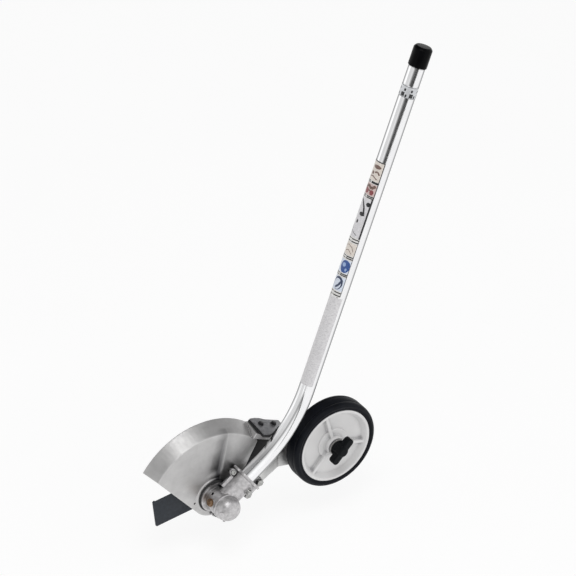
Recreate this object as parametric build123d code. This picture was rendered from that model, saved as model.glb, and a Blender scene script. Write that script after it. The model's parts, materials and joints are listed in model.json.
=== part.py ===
from build123d import *
import math
import os

# Edger attachment for a split-shaft power head: a bent drive tube, a right-angle
# gear case, a cast blade guard, a flat blade and a depth wheel on a slotted arm.
#
# The pieces are laid out about the gear centre, where the blade axis (along Y)
# crosses the axis of the lower tube (in the plane Y = 0). +X is the operator's
# end, +Y the blade side, +Z up. Every piece is moved by the same amount on
# export, so that the middle of the tube's spigot is the origin.

os.makedirs("parts", exist_ok=True)

# ------------------------------------------------------------ driving dimensions
# Drive tube
TUBE_R = 12.7              # one-inch tube
TUBE_BORE_R = 11.1
LOWER_ANGLE = 34.2         # slope of the lower leg, degrees above +X
UPPER_ANGLE = 69.1         # slope of the upper leg
CORNER_AT = 154.0          # gear centre to the corner of the bend
BEND_R = 220.0
TUBE_START = 35.0          # lower end of the tube, from the gear centre
UPPER_END = 627.0          # upper end of the tube, from the corner
NECK_R = 12.3              # slightly reduced end under the cap
SPIGOT = (571.0, 598.0)    # full-size stretch that a coupler grips, from the corner
DEPTH_GROOVE = (569.5, 571.0)
PLAIN_FROM = 520.0         # above this the tube end is turned, below it is bent
LOCATING_HOLE_R = 3.5
LOCATING_HOLE_AT = 590.0   # from the corner

# Gear train
MODULE = 1.5
GEAR_TEETH = 17
PINION_TEETH = 11
FACE_KEEP = 0.68           # inner end of the teeth, as a share of the outer cone distance
SHAFT_R = 6.0

# Gear case
DOME_R = 20.0
DOME_AT = -15.0            # centre of the dome on the blade axis
FLANGE_R = 25.0
GUARD_FACE = 23.0          # near face of the guard's plate on the blade axis
NECK_OUTER_R = 17.0
CLAMP_MOUTH = 55.0

# Guard
GUARD_CENTRE = (-6.0, -5.0)
GUARD_NEAR_R = 113.5
GUARD_FAR_R = 126.0
GUARD_FAR_Y = 48.5
GUARD_WALL = 3.0
GUARD_FRONT_ANGLE = 144.0
GUARD_REAR_ANGLE = 41.0
HUB_R = 36.0
PILOT_R = 18.4

# Blade
BLADE_LENGTH = 188.0
BLADE_WIDTH = 48.0
BLADE_THICK = 2.5
BLADE_FACE = 41.0
BLADE_DROOP = 5.7          # front tip below the blade axis, degrees
ARBOR_R = 12.7

# Wheel
WHEEL_X, WHEEL_Z = 204.6, 25.0
WHEEL_NEAR = -2.0
WHEEL_FAR = 29.0
TYRE_R = 73.0
RIM_R = 61.7
SLEEVE_R = 8.0
SLOT_UP = 6.0
SLOT_DOWN = 38.0
ARM_FACE = 36.5            # wheel side of the slotted plate
ARM_THICK = 5.0

RUN = 0.05                 # running fit, radial
GRIP = 0.02                # parts fixed together
BASE = (Align.CENTER, Align.CENTER, Align.MIN)


# ------------------------------------------------------------ frames
def unit(angle):
    """Unit vector in the plane Y = 0, `angle` degrees above +X."""
    a = math.radians(angle)
    return Vector(math.cos(a), 0, math.sin(a))


LOWER_DIR = unit(LOWER_ANGLE)
UPPER_DIR = unit(UPPER_ANGLE)
CORNER = LOWER_DIR * CORNER_AT
ORIGIN_AT = CORNER + UPPER_DIR * (sum(SPIGOT) / 2)

INPUT = Plane(origin=(0, 0, 0), x_dir=(0, 1, 0), z_dir=LOWER_DIR)
CLAMP = Plane(INPUT.location * Rot(0, 0, -35))      # turned so the lugs lean to the guard
UPPER = Plane(origin=CORNER, x_dir=(0, 1, 0), z_dir=UPPER_DIR)
OUTPUT = Plane(origin=(0, 0, 0), x_dir=(1, 0, 0), z_dir=(0, 1, 0))
RIM = Plane(origin=(GUARD_CENTRE[0], 0, GUARD_CENTRE[1]), x_dir=(1, 0, 0), z_dir=(0, 1, 0))
WHEEL = Plane(origin=(WHEEL_X, 0, WHEEL_Z), x_dir=(1, 0, 0), z_dir=(0, 1, 0))


# ------------------------------------------------------------ helpers
def save(name, *shapes):
    """Write one node: all the solids given, moved into the shared frame."""
    solids = [s for shape in shapes for s in shape.solids()]
    move = Location((-ORIGIN_AT.X, -ORIGIN_AT.Y, -ORIGIN_AT.Z))
    moved = [s.moved(move) for s in solids]
    body = moved[0] if len(moved) == 1 else Compound(moved)
    export_step(body, f"parts/{name}.step")
    print(f"{name}: {len(solids)} solid(s), {sum(s.volume for s in solids):.0f} mm3")


def rod(plane, start, end, radius, bore=0.0):
    """Cylinder on a plane's z axis, with a bore if one is given."""
    body = Pos(0, 0, start) * Cylinder(radius, end - start, align=BASE)
    if bore:
        body -= Pos(0, 0, start - 1) * Cylinder(bore, end - start + 2, align=BASE)
    return plane.location * body


def turned(plane, points, start=0.0, arc=360.0):
    """(radius, height) outline turned about a plane's z axis."""
    outline = Plane.XZ * Polygon(*points, align=None)
    return plane.location * Rot(0, 0, start) * revolve(outline, Axis.Z, revolution_arc=arc)


def hexagon(plane, start, end, flats, bore=0.0):
    """Hexagonal prism on a plane's z axis."""
    outline = RegularPolygon(flats / 2, 6, major_radius=False)
    if bore:
        outline -= Circle(bore)
    return plane.location * Pos(0, 0, start) * extrude(outline, end - start)


def slab(outline, y0, y1):
    """An (X, Z) outline given thickness from Y = y0 to Y = y1."""
    return extrude(Plane.XZ.offset(-y1) * outline, y1 - y0, dir=(0, -1, 0))


def across(plane, x, y, z):
    """Plane whose z axis runs along Y, standing at a point of a plane's own frame."""
    at = plane.from_local_coords(Vector(x, y, z))
    return Plane(origin=at, x_dir=(1, 0, 0), z_dir=(0, 1, 0))


def radial(distance, angle, y):
    """Plane on the blade axis's radius at an XZ angle, z pointing outwards."""
    out = unit(angle)
    return Plane(origin=out * distance + Vector(0, y, 0), x_dir=(0, 1, 0), z_dir=out)


def bearing(plane, start, width, bore, outer, count):
    """Outer ring, inner ring, balls and cage of a ball bearing."""
    pitch = (bore + outer) / 2
    ball = 0.283 * (outer - bore)
    middle = start + width / 2
    groove = plane.location * Pos(0, 0, middle) * Torus(pitch, ball + 0.03)
    land = 0.2 * (outer - bore)
    outer_ring = rod(plane, start, start + width, outer, pitch + land) - groove
    inner_ring = rod(plane, start, start + width, pitch - land, bore) - groove
    spots = [Rot(0, 0, 360 * i / count) * Pos(pitch, 0, middle) for i in range(count)]
    balls = [plane.location * spot * Sphere(ball) for spot in spots]
    pockets = [plane.location * spot * Rot(0, 90, 0) * Cylinder(ball + 0.1, 4) for spot in spots]
    half = width / 2 - 0.8
    cage = rod(plane, middle - half, middle + half, pitch + 0.5, pitch - 0.5)
    cage -= pockets
    return outer_ring, inner_ring, balls, cage


def bevel_teeth(plane, teeth, pitch_r, apex, phase):
    """Straight bevel teeth whose cones meet at the gear centre."""
    cone = math.hypot(pitch_r, apex)
    slope = math.atan2(pitch_r, apex)
    tip = apex * math.tan(slope + math.atan2(0.66 * MODULE, cone))
    root = apex * math.tan(slope - math.atan2(0.90 * MODULE, cone))
    shape = [(root, -0.36), (tip, -0.11), (tip, 0.11), (root, 0.36)]
    points = []
    for i in range(teeth):
        for radius, share in shape:
            a = math.radians(phase) + 2 * math.pi * (i + share) / teeth
            points.append((radius * math.cos(a), radius * math.sin(a)))
    small = [(x * FACE_KEEP, y * FACE_KEEP) for x, y in points]
    outer_face = Pos(0, 0, apex) * make_face(Polyline(*points, close=True))
    inner_face = Pos(0, 0, apex * FACE_KEEP) * make_face(Polyline(*small, close=True))
    return plane.location * loft([inner_face, outer_face], ruled=True), root


# ------------------------------------------------------------ drive tube
def tube_path(start, end):
    """Centre line of the tube between two distances from gear centre and corner."""
    reach = BEND_R * math.tan(math.radians(UPPER_ANGLE - LOWER_ANGLE) / 2)
    before = LOWER_DIR * (CORNER_AT - reach)
    after = CORNER + UPPER_DIR * reach
    first = Edge.make_line(LOWER_DIR * start, before)
    bend = Edge.make_tangent_arc(before, LOWER_DIR, after)
    last = Edge.make_line(after, CORNER + UPPER_DIR * end)
    return Wire([first, bend, last])


def along_tube(start, end, radius, bore=0.0):
    """Round rod or tube following the tube's centre line."""
    path = tube_path(start, end)
    section = Circle(radius)
    if bore:
        section -= Circle(bore)
    return sweep(Plane(origin=LOWER_DIR * start, x_dir=(0, 1, 0), z_dir=LOWER_DIR) * section, path)


bent = along_tube(TUBE_START, PLAIN_FROM, TUBE_R, TUBE_BORE_R)
end_outline = [
    (TUBE_BORE_R, PLAIN_FROM),
    (TUBE_R, PLAIN_FROM),
    (TUBE_R, DEPTH_GROOVE[0]),
    (TUBE_R - 0.3, DEPTH_GROOVE[0]),
    (TUBE_R - 0.3, DEPTH_GROOVE[1]),
    (TUBE_R, DEPTH_GROOVE[1]),
    (TUBE_R, SPIGOT[1]),
    (NECK_R, SPIGOT[1]),
    (NECK_R, UPPER_END - 0.6),
    (NECK_R - 0.4, UPPER_END),
    (TUBE_BORE_R, UPPER_END),
]
hole_at = UPPER.from_local_coords(Vector(0, 0, LOCATING_HOLE_AT))
hole_dir = UPPER.y_dir * -1
locating_hole = rod(Plane(origin=hole_at, z_dir=hole_dir), 5, 20, LOCATING_HOLE_R)
drive_tube = bent + turned(UPPER, end_outline) - locating_hole
save("drive_tube", drive_tube)

cap_outline = [
    (NECK_R + 0.3, 599.0),
    (14.3, 599.0),
    (14.3, 626.6),
    (11.4, 630.0),
    (0, 630.0),
    (0, UPPER_END + 0.4),
    (NECK_R + 0.3, UPPER_END + 0.4),
]
save("tube_end_cap", turned(UPPER, cap_outline))

band = [(TUBE_R, 551.0), (TUBE_R + 0.15, 551.0), (TUBE_R + 0.15, 569.0), (TUBE_R, 569.0)]
save("limit_band", turned(UPPER, band))


def label(low, high, start, arc):
    """Thin sticker on the upper leg between two heights and two angles."""
    outline = [(TUBE_R, low), (TUBE_R + 0.15, low), (TUBE_R + 0.15, high), (TUBE_R, high)]
    return turned(UPPER, outline, start, arc)


save("icon_label", label(227.0, 447.0, 32.0, 120.0))
save("info_label", label(78.0, 226.0, 32.0, 140.0))

LINER_R, LINER_BORE_R, CABLE_R = 5.2, 3.7, 3.2
save("cable_liner", along_tube(47.0, 586.0, LINER_R, LINER_BORE_R))
save("drive_cable", along_tube(39.5, 592.0, CABLE_R))
spacers = [rod(INPUT, 62, 74, TUBE_BORE_R - GRIP, LINER_R + GRIP)]
for height in (90, 250, 410, 560):
    spacers.append(rod(UPPER, height, height + 12, TUBE_BORE_R - GRIP, LINER_R + GRIP))
save("liner_spacers", *spacers)

upper_bushing = rod(UPPER, 596, 618, TUBE_BORE_R - GRIP, SHAFT_R + RUN)
save("upper_bushing", upper_bushing)
upper_drive_end = rod(UPPER, 587, 624, SHAFT_R)
upper_drive_end += rod(UPPER, 588.5, 595.6, 8.5)
upper_drive_end += rod(UPPER, 618.4, 620.4, 8.0)
upper_drive_end -= rod(UPPER, 580, 592.4, CABLE_R + 0.1)
upper_drive_end -= UPPER.location * Pos(0, 0, 606) * extrude(Rectangle(6.4, 6.4), 30)
save("upper_drive_end", upper_drive_end)

# ------------------------------------------------------------ gear case
barrel = [(0, DOME_AT - DOME_R)]
for step in range(1, 19):
    a = math.radians(step * 5)
    barrel.append((DOME_R * math.sin(a), DOME_AT - DOME_R * math.cos(a)))
barrel += [
    (DOME_R, GUARD_FACE - 8),
    (FLANGE_R, GUARD_FACE - 6.5),
    (FLANGE_R, GUARD_FACE),
    (PILOT_R, GUARD_FACE),
    (PILOT_R, GUARD_FACE + GUARD_WALL),
    (PILOT_R - 0.8, GUARD_FACE + GUARD_WALL),
    (PILOT_R - 0.8, 30.0),
    (0, 30.0),
]
gear_case = turned(OUTPUT, barrel)
gear_case += rod(INPUT, 0, CLAMP_MOUTH, NECK_OUTER_R)
gear_case += rod(INPUT, CLAMP_MOUTH - 4, CLAMP_MOUTH, NECK_OUTER_R + 1.6)
COLLAR_LENGTH, COLLAR_WIDTH = 51.0, 23.0
collar = Rot(0, 0, 45) * SlotOverall(COLLAR_LENGTH, COLLAR_WIDTH)
gear_case += INPUT.location * Pos(0, 0, CLAMP_MOUTH - 4) * extrude(collar, 4)
gear_case += rod(OUTPUT, -12.0, -8.5, DOME_R + 1.2)

LUG_Z, LUG_Y = 44.5, 20.6
LUG_HALF = 5.0
LUG_R = 5.4
lug = Pos(0, LUG_Y - 6, LUG_Z) * Box(2 * LUG_HALF, 12, 2 * LUG_R)
lug += Pos(0, LUG_Y, LUG_Z) * Rot(0, 90, 0) * Cylinder(LUG_R, 2 * LUG_HALF)
gear_case += CLAMP.location * lug

BOSS_BOLTS = (36.0, 61.5)
BOSS_Y = -22.5
BOSS_NEAR = -5.0                  # side of the boss that the bolt heads sit on
ARM_IN = 9.0                      # side of the boss that the arm is bolted to
boss_middle = (BOSS_NEAR + ARM_IN) / 2
boss_width = ARM_IN - BOSS_NEAR
boss = Pos(boss_middle, -20.9, 48) * Box(boss_width, 16, 36)
for at in BOSS_BOLTS:
    boss += Pos(boss_middle, BOSS_Y, at) * Rot(0, 90, 0) * Cylinder(6.5, boss_width)
boss -= Pos(0, 0, CLAMP_MOUTH) * Cylinder(TUBE_R + 0.6, 30, align=BASE)
gear_case += INPUT.location * boss

PLUG_ANGLE = 157.0
gear_case += rod(radial(0, PLUG_ANGLE, 0), 16, 21, 7)
ear_angle = -93.0
EAR_R = 29.5
ear_at = unit(ear_angle) * EAR_R
ear = Plane(origin=ear_at, x_dir=(1, 0, 0), z_dir=(0, 1, 0))
gear_case += rod(ear, GUARD_FACE - 6, GUARD_FACE, 6.0)
dome_boss = Plane(origin=(0, DOME_AT, 0), z_dir=(-16.3, -11.5, 1.2))
gear_case += rod(dome_boss, 10, DOME_R + 0.9, 4.4)
dome_nub = Plane(origin=(0, DOME_AT, 0), z_dir=(-10.6, -6.9, -17.6))
gear_case += rod(dome_nub, 10, DOME_R + 1.6, 1.8)

# Hollows, from the inside out
CHAMBER_R = 15.4
DOME_BEARING = (-22.0, 7.0)       # start and width on the blade axis
FLANGE_BEARING = (11.2, 10.0)
INPUT_BEARINGS = (17.6, 24.9)
INPUT_WIDTH = 7.0
cavity = [
    (0, -24.5),
    (7.5, -24.5),
    (7.5, DOME_BEARING[0]),
    (11.0, DOME_BEARING[0]),
    (11.0, -14.5),
    (CHAMBER_R, -11.0),
    (CHAMBER_R, FLANGE_BEARING[0]),
    (16.0, FLANGE_BEARING[0]),
    (16.0, 21.4),
    (16.9, 21.4),
    (16.9, 22.6),
    (16.0, 22.6),
    (16.0, 31.0),
    (0, 31.0),
]
gear_case -= turned(OUTPUT, cavity)
gear_case -= rod(INPUT, 0, 17.6, 10.6)
gear_case -= rod(INPUT, 17.6, TUBE_START, 11.0)
gear_case -= rod(INPUT, 32.2, 33.4, 11.8)
gear_case -= rod(INPUT, TUBE_START, 90, TUBE_R + GRIP)
gear_case -= CLAMP.location * Pos(0, 20, 50) * Box(2.5, 40, 26)
pinch_at = CLAMP.from_local_coords(Vector(0, LUG_Y, LUG_Z))
pinch_axis = Plane(origin=pinch_at, x_dir=LOWER_DIR, z_dir=CLAMP.x_dir)
gear_case -= rod(pinch_axis, -12, 12, 2.1)
SCREW_AT = 39.0                   # locating screw, along the neck
screw_side = INPUT.x_dir * -0.97 + INPUT.y_dir * -0.24
locating_axis = Plane(origin=LOWER_DIR * SCREW_AT, x_dir=LOWER_DIR, z_dir=screw_side)
gear_case += rod(locating_axis, 14, NECK_OUTER_R + 1.8, 6.0) - rod(INPUT, 0, 90, TUBE_R + GRIP)
gear_case -= rod(locating_axis, 10, 25, 2.6)
for at in BOSS_BOLTS:
    gear_case -= rod(across(INPUT, 0, BOSS_Y, at), -20, 20, 3.1)
gear_case -= rod(radial(0, PLUG_ANGLE, 0), 10, 25, 4.0)
gear_case -= rod(radial(0, 124.0, 8.4), 12, 30, 2.2)
gear_case -= rod(ear, 0, GUARD_FACE + 1, 2.55)
SCREW_ANGLES = (20.0, 110.0, 200.0, 290.0)
SCREW_R = 21.8
for angle in SCREW_ANGLES:
    spot = unit(angle) * SCREW_R
    screw_axis = Plane(origin=spot, x_dir=(1, 0, 0), z_dir=(0, 1, 0))
    gear_case -= rod(screw_axis, GUARD_FACE - 6, GUARD_FACE + 1, 1.55)
save("gear_case", gear_case)


def socket_screw(plane, under_head, length, shank, head, height, toward=1):
    """Cap screw on a plane's z axis; the shank runs `toward` from under the head."""
    tip = under_head + toward * length
    body = rod(plane, min(under_head, tip), max(under_head, tip), shank)
    top = under_head - toward * height
    body += rod(plane, min(under_head, top), max(under_head, top), head)
    recess = hexagon(plane, min(top, top + toward * height * 0.55),
                     max(top, top + toward * height * 0.55), head * 1.05)
    return body - recess


def hex_nut(plane, start, end, flats, bore):
    """Hexagon nut with chamfered corners on both faces."""
    corner = flats / 2 / math.cos(math.radians(30))
    limit = [(0, start), (flats / 2, start), (corner, start + 0.8), (corner, end - 0.8),
             (flats / 2, end), (0, end)]
    return hexagon(plane, start, end, flats, bore) & turned(plane, limit)


save("pinch_bolt", socket_screw(pinch_axis, -LUG_HALF, 14.6, 2.0, 3.5, 3.8))
save("pinch_nut", hex_nut(pinch_axis, LUG_HALF, LUG_HALF + 3.2, 7.0, 2.02))
screw_face = NECK_OUTER_R + 1.8
locating_screw = rod(locating_axis, TUBE_R + 0.4, screw_face, 2.5)
locating_screw += rod(locating_axis, screw_face, screw_face + 0.9, 5.4)
locating_screw += hexagon(locating_axis, screw_face, screw_face + 4.4, 8.0)
save("locating_screw", locating_screw)

plug_axis = radial(0, PLUG_ANGLE, 0)
grease_plug = rod(plug_axis, 16.4, 21, 3.95) + rod(plug_axis, 21, 22, 6.4)
grease_plug += hexagon(plug_axis, 22, 25.5, 9.5)
save("grease_plug", grease_plug)

# ------------------------------------------------------------ gear train
gear_pitch_r = MODULE * GEAR_TEETH / 2
pinion_pitch_r = MODULE * PINION_TEETH / 2

pinion_teeth, pinion_root = bevel_teeth(INPUT, PINION_TEETH, pinion_pitch_r, gear_pitch_r,
                                        180.0 / PINION_TEETH)
pinion_shaft = pinion_teeth + rod(INPUT, gear_pitch_r, 17.4, pinion_root)
pinion_shaft += rod(INPUT, 17.4, 39.0, 4.0 - GRIP)
pinion_shaft += rod(INPUT, 33.8, 46.0, 5.0)
pinion_shaft -= rod(INPUT, 39.3, 50, CABLE_R + GRIP)
save("pinion_shaft", pinion_shaft)

bevel, gear_root = bevel_teeth(OUTPUT, GEAR_TEETH, gear_pitch_r, pinion_pitch_r, -LOWER_ANGLE)
bevel += rod(OUTPUT, pinion_pitch_r, 11.0, gear_root)
bevel -= rod(OUTPUT, 0, 20, SHAFT_R + GRIP)
save("bevel_gear", bevel)

input_sets = [bearing(INPUT, start, INPUT_WIDTH, 4.0, 11.0, 7) for start in INPUT_BEARINGS]
save("input_outer_rings", *[s[0] for s in input_sets])
save("input_inner_rings", *[s[1] for s in input_sets])
save("input_balls", *[b for s in input_sets for b in s[2]])
save("input_cages", *[s[3] for s in input_sets])

dome_set = bearing(OUTPUT, DOME_BEARING[0], DOME_BEARING[1], 4.0, 11.0, 7)
flange_set = bearing(OUTPUT, FLANGE_BEARING[0], FLANGE_BEARING[1], 6.0, 16.0, 8)
for prefix, parts in (("dome", dome_set), ("flange", flange_set)):
    save(f"{prefix}_outer_ring", parts[0])
    save(f"{prefix}_inner_ring", parts[1])
    save(f"{prefix}_balls", *parts[2])
    save(f"{prefix}_cage", parts[3])


def circlip(plane, start, end, bore, groove, opening):
    """Internal snap ring with a gap between its two eyes."""
    ring = rod(plane, start, end, groove - 0.1, bore)
    return ring - plane.location * Pos(0, groove, (start + end) / 2) * Box(opening, groove, 4)


save("input_circlip", circlip(INPUT, 32.3, 33.3, 9.6, 11.8, 6))
save("output_circlip", circlip(OUTPUT, 21.5, 22.5, 13.8, 16.9, 8))

FLANGE_HUB_R = 8.0
seal_outline = [(FLANGE_HUB_R + 0.3, 24.0), (16.0 - GRIP, 24.0), (16.0 - GRIP, 29.6),
                (10.5, 29.6), (10.5, 28.0), (FLANGE_HUB_R + 0.3, 27.0)]
save("oil_seal", turned(OUTPUT, seal_outline))

output_shaft = rod(OUTPUT, -22.5, -14.9, 4.0 - GRIP) + rod(OUTPUT, -14.9, 43.4, SHAFT_R)
output_shaft += rod(OUTPUT, 43.4, 53.8, 4.9)
save("output_shaft", output_shaft)

# ------------------------------------------------------------ blade and its clamp
flange_outline = [
    (SHAFT_R + GRIP, 23.4),
    (FLANGE_HUB_R, 23.4),
    (FLANGE_HUB_R, 33.0),
    (12.0, 35.5),
    (20.0, 36.5),
    (20.0, BLADE_FACE),
    (ARBOR_R - RUN, BLADE_FACE),
    (ARBOR_R - RUN, BLADE_FACE + 2.2),
    (SHAFT_R + GRIP, BLADE_FACE + 2.2),
]
blade_flange = turned(OUTPUT, flange_outline)
blade_flange -= Plane(origin=(0, 38.8, 20), z_dir=(0, 0, -1)).location * Cylinder(2.4, 12)
save("blade_flange", blade_flange)

blade_outline = Rectangle(BLADE_LENGTH, BLADE_WIDTH)
blade_outline = chamfer(blade_outline.vertices(), 1.5)
blade_outline -= Circle(ARBOR_R)
blade_at = OUTPUT.location * Rot(0, 0, -BLADE_DROOP) * Pos(0, 0, BLADE_FACE)
blade = blade_at * extrude(blade_outline, BLADE_THICK)
edge = Pos(0, 0, BLADE_THICK) * Rot(28, 0, 0) * Box(BLADE_LENGTH - 70, 9, 4)
for turn in (0, 180):
    blade -= blade_at * Rot(0, 0, turn) * Pos(31, BLADE_WIDTH / 2 + 1.6, 1.4) * edge
save("blade", blade)

outer_face = BLADE_FACE + BLADE_THICK
washer_outline = [
    (SHAFT_R + 1.0, outer_face + 1.2),
    (ARBOR_R + 0.3, outer_face + 1.2),
    (ARBOR_R + 0.6, outer_face),
    (19.0, outer_face),
    (19.0, outer_face + 1.2),
    (13.0, outer_face + 3.2),
    (5.0, outer_face + 3.2),
    (5.0, outer_face + 1.2),
]
save("blade_washer", turned(OUTPUT, washer_outline))
nut_face = outer_face + 3.2
blade_nut = hex_nut(OUTPUT, nut_face, nut_face + 6.6, 16.0, 4.92)
blade_nut += rod(OUTPUT, nut_face, nut_face + 1.6, 10.6, 4.92)
save("blade_nut", blade_nut)

# ------------------------------------------------------------ guard
centre = Vector(*GUARD_CENTRE)


def on_guard(angle, radius):
    """(X, Z) point on a circle about the guard's own centre."""
    a = math.radians(angle)
    return (centre.X + radius * math.cos(a), centre.Y + radius * math.sin(a))


front = on_guard(GUARD_FRONT_ANGLE, GUARD_NEAR_R - 1)
rear = on_guard(GUARD_REAR_ANGLE, GUARD_NEAR_R - 1)
distance = math.hypot(*front)
tangent = math.degrees(math.atan2(front[1], front[0]) + math.acos(HUB_R / distance))
hub_start = (HUB_R * math.cos(math.radians(tangent)), HUB_R * math.sin(math.radians(tangent)))
hub_arc = CenterArc((0, 0), HUB_R, tangent, 325 - tangent)
notch = (66.0, 47.0)
plate_edge = [
    CenterArc(GUARD_CENTRE, GUARD_NEAR_R - 1, GUARD_REAR_ANGLE,
              GUARD_FRONT_ANGLE - GUARD_REAR_ANGLE),
    Line(front, hub_start),
    hub_arc,
    Line(hub_arc @ 1, notch),
    Line(notch, rear),
]
guard = slab(make_face(plate_edge), GUARD_FACE, GUARD_FACE + GUARD_WALL)
rim_outline = [
    (GUARD_NEAR_R - 5, GUARD_FACE),
    (GUARD_NEAR_R - 1.5, GUARD_FACE),
    (GUARD_NEAR_R, GUARD_FACE + 1.5),
    (GUARD_FAR_R, GUARD_FAR_Y),
    (GUARD_FAR_R - GUARD_WALL, GUARD_FAR_Y),
    (GUARD_NEAR_R - 3.2, GUARD_FACE + GUARD_WALL),
    (GUARD_NEAR_R - 5, GUARD_FACE + GUARD_WALL),
]
guard += turned(RIM, rim_outline, -GUARD_FRONT_ANGLE, GUARD_FRONT_ANGLE - GUARD_REAR_ANGLE)
guard += rod(OUTPUT, GUARD_FACE - 1.2, GUARD_FACE + GUARD_WALL, FLANGE_R + 5)

# Pad at the rear of the rim that carries the rubber flap
PAD_SLOPE = -24.0
PAD_TILT = 10.0
PAD_WIDTH = 31.0
PAD_LENGTH = 49.0
PAD_THICK = 10.0
pad_dir = unit(PAD_SLOPE)
side = Vector(0, math.cos(math.radians(PAD_TILT)), math.sin(math.radians(PAD_TILT)))
PAD = Plane(origin=(78, 47, 92), x_dir=pad_dir, z_dir=pad_dir.cross(side))
pad_middle = PAD_LENGTH / 2 - 4
pad_block = Pos(pad_middle, -PAD_WIDTH / 2, -PAD_THICK / 2) * Box(PAD_LENGTH, PAD_WIDTH, PAD_THICK)
pad_hollow = Pos(pad_middle, -PAD_WIDTH / 2, -PAD_THICK) * Box(PAD_LENGTH - 6, PAD_WIDTH - 6, 12)
pad_inside = [(0, GUARD_FACE - 10), (GUARD_NEAR_R - 7.5, GUARD_FACE - 10),
              (GUARD_FAR_R + 1.0, GUARD_FAR_Y + 12), (0, GUARD_FAR_Y + 12)]
pad = PAD.location * (pad_block - pad_hollow) - turned(RIM, pad_inside)
guard += pad
guard -= rod(OUTPUT, 0, 40, PILOT_R + GRIP)
guard -= rod(OUTPUT, 0, GUARD_FACE, FLANGE_R + 0.3)
guard -= rod(ear, 0, GUARD_FACE, 6.3)
guard -= rod(ear, 0, 40, 2.55)
for angle in SCREW_ANGLES:
    spot = unit(angle) * SCREW_R
    guard -= rod(Plane(origin=spot, x_dir=(1, 0, 0), z_dir=(0, 1, 0)), 0, 40, 1.7)
drain_at = unit(184.0) * 33.5
guard -= rod(Plane(origin=drain_at, x_dir=(1, 0, 0), z_dir=(0, 1, 0)), 0, 40, 1.6)
FLAP_SCREWS = ((14.0, -12.0), (40.0, -10.0))
FLAP_THICK = 3.0
PLATE_THICK = 2.0
for x, y in FLAP_SCREWS:
    guard -= PAD.location * Pos(x, y, 0) * Cylinder(2.05, 40)
save("guard", guard)

guard_screws = []
for angle in SCREW_ANGLES:
    spot = Plane(origin=unit(angle) * SCREW_R, x_dir=(1, 0, 0), z_dir=(0, 1, 0))
    guard_screws.append(socket_screw(spot, GUARD_FACE + GUARD_WALL, 8.4, 1.5, 2.9, 3.0, -1))
save("guard_screws", *guard_screws)
save("guard_stop_screw", socket_screw(ear, GUARD_FACE - 6, 11.0, 2.5, 4.2, 5.0))

flap_path = FilletPolyline((0.5, FLAP_THICK / 2), (55.0, FLAP_THICK / 2), (59.2, -35.0), radius=9)
flap_section = Plane.XZ * trace(flap_path, FLAP_THICK)
flap_tongue = Polygon((-1, 0), (30, 0), (30, -28), (19.4, -37), (14, -38.8), (3.4, -38.8), align=None)
rubber_flap = extrude(flap_section, PAD_WIDTH, dir=(0, -1, 0)) + extrude(
    flap_tongue, FLAP_THICK, dir=(0, 0, 1))
rubber_flap = PAD.location * rubber_flap
skirt = make_face(Polyline(
    (62, 44), (74, 63), (84, 69), (98, 62), (126, 55), (121, 42), (72, 33), close=True))
rubber_flap += slab(skirt, GUARD_FACE + GUARD_WALL + 1, GUARD_FACE + GUARD_WALL + 4)
plate_outline = Polygon(
    (0, 0), (10, 2.4), (20, 2.6), (30, 0), (56, 0), (57, -7), (24, -33.5), (18, -36.6), (14, -37.5),
    (4.6, -37.4), align=None)
flap_retainer = PAD.location * Pos(0, 0, FLAP_THICK) * extrude(
    plate_outline, PLATE_THICK, dir=(0, 0, 1))
for x, y in FLAP_SCREWS:
    through = PAD.location * Pos(x, y, 0) * Cylinder(2.05, 40)
    rubber_flap -= through
    flap_retainer -= through
save("rubber_flap", rubber_flap)
save("flap_retainer", flap_retainer)
flap_screws = []
for x, y in FLAP_SCREWS:
    axis = Plane(origin=PAD.from_local_coords(Vector(x, y, 0)), x_dir=PAD.x_dir, z_dir=PAD.z_dir)
    screw = rod(axis, -8, FLAP_THICK + PLATE_THICK, 2.0)
    screw += hexagon(axis, FLAP_THICK + PLATE_THICK, FLAP_THICK + PLATE_THICK + 3, 7.0)
    screw += rod(axis, FLAP_THICK + PLATE_THICK, FLAP_THICK + PLATE_THICK + 0.9, 4.6)
    flap_screws.append(screw)
save("flap_screws", *flap_screws)

# ------------------------------------------------------------ wheel arm
SIDE_PATH = [
    (20, ARM_IN), (78, ARM_IN), (124, ARM_FACE), (240, ARM_FACE),
    (240, ARM_FACE + ARM_THICK), (122, ARM_FACE + ARM_THICK), (76, ARM_IN + ARM_THICK),
    (20, ARM_IN + ARM_THICK),
]


def boss_point(along, across_neck):
    """(X, Z) of a point given along and across the neck."""
    at = INPUT.from_local_coords(Vector(0, across_neck, along))
    return (at.X, at.Z)


arm_edge = Polyline(
    boss_point(29.5, -16.8), boss_point(29.5, -29), (82, 2), (130, -7), (WHEEL_X - 15, -20),
    (WHEEL_X - 15, 45), (130, 29), boss_point(70, -16.8), close=True)
arm_side = make_face(arm_edge)
slot_low = WHEEL_Z - SLOT_DOWN
slot_high = WHEEL_Z + SLOT_UP
slot_middle = (slot_low + slot_high) / 2
slot_span = slot_high - slot_low
arm_side += Pos(WHEEL_X, slot_middle) * Rot(0, 0, 90) * SlotCenterToCenter(slot_span, 36)
slot = Rot(0, 0, 90) * SlotCenterToCenter(slot_span + 8, 10.4)
arm_side -= Pos(WHEEL_X, slot_middle) * slot
for at in BOSS_BOLTS:
    arm_side -= Pos(*boss_point(at, BOSS_Y)) * Circle(3.1)
wheel_bracket = slab(arm_side, 0, 60) & extrude(
    Pos(0, 0, -60) * make_face(Polyline(*SIDE_PATH, close=True)), 140)
rib_side = make_face(Polyline((128, 10), (186, 8), (186, 16), (128, 18), close=True))
wheel_bracket += slab(rib_side, ARM_FACE + ARM_THICK, ARM_FACE + ARM_THICK + 4)
save("wheel_bracket", wheel_bracket)

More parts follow.
